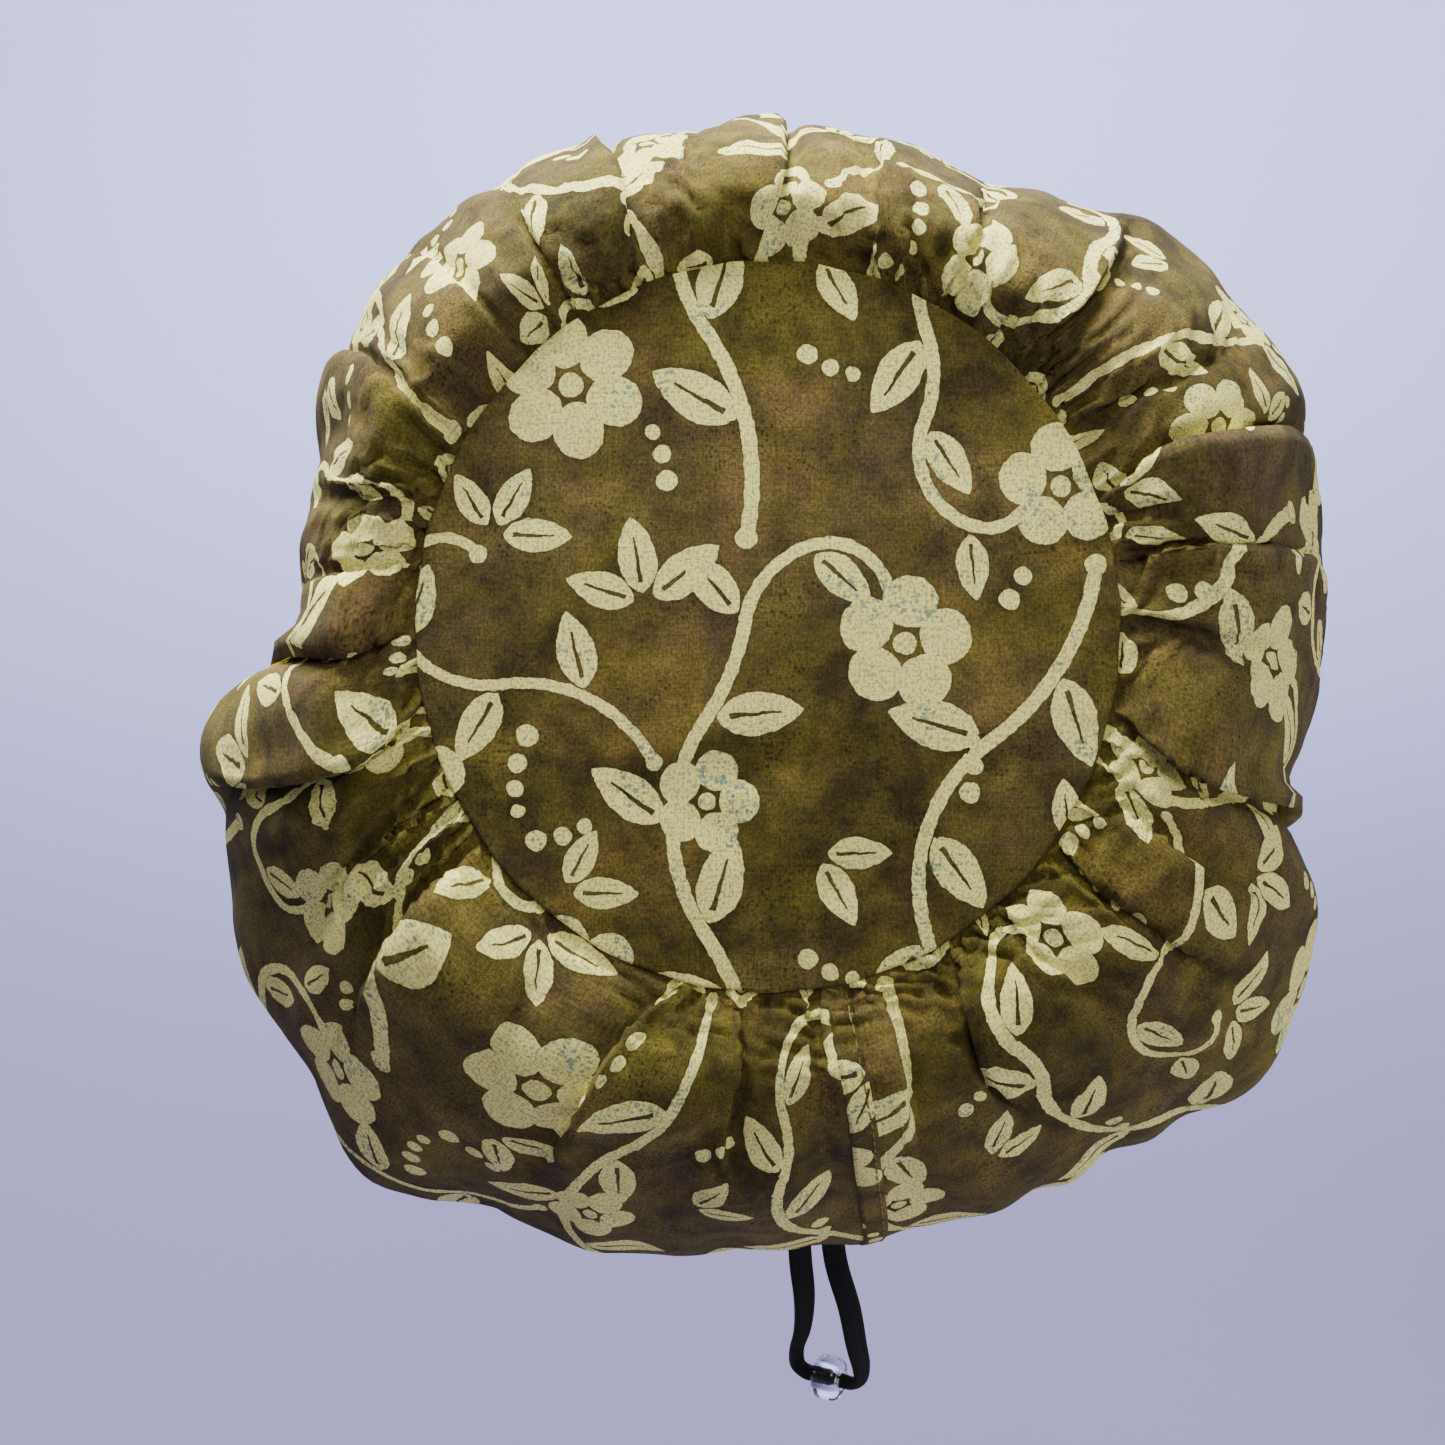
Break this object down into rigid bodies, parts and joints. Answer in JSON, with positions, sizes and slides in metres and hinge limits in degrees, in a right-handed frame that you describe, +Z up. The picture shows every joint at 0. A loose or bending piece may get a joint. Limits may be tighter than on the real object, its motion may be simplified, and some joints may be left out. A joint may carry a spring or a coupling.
{
  "type": "bouffant scrub cap",
  "caption": "Bouffant scrub cap of printed cotton: gathered side panel round a flat back disc, elastic hem, and a clear bead on a loop of flat elastic at the nape.",
  "frame": {"origin": "centre of the head opening, where the cap sits on the head", "axes": "+X to the wearer's right, +Y forward towards the forehead, +Z up; the back disc faces -Y and leans up by 15 degrees"},
  "size_m": [0.2902, 0.244, 0.3455],
  "materials": {
    "printed_cotton": "matte plain-weave cotton, mottled olive and brown ground with pale cream-green leaf and tendril print",
    "black_elastic": "matte ribbed flat elastic",
    "clear_bead": "clear smooth acrylic"
  },
  "bodies": {
    "root": {"crown_disc": "printed_cotton", "side_puff": "printed_cotton", "rim_band": "printed_cotton", "elastic_left": "black_elastic", "elastic_right": "black_elastic", "elastic_in_bead": "black_elastic", "bead": "clear_bead"}
  },
  "joints": []
}
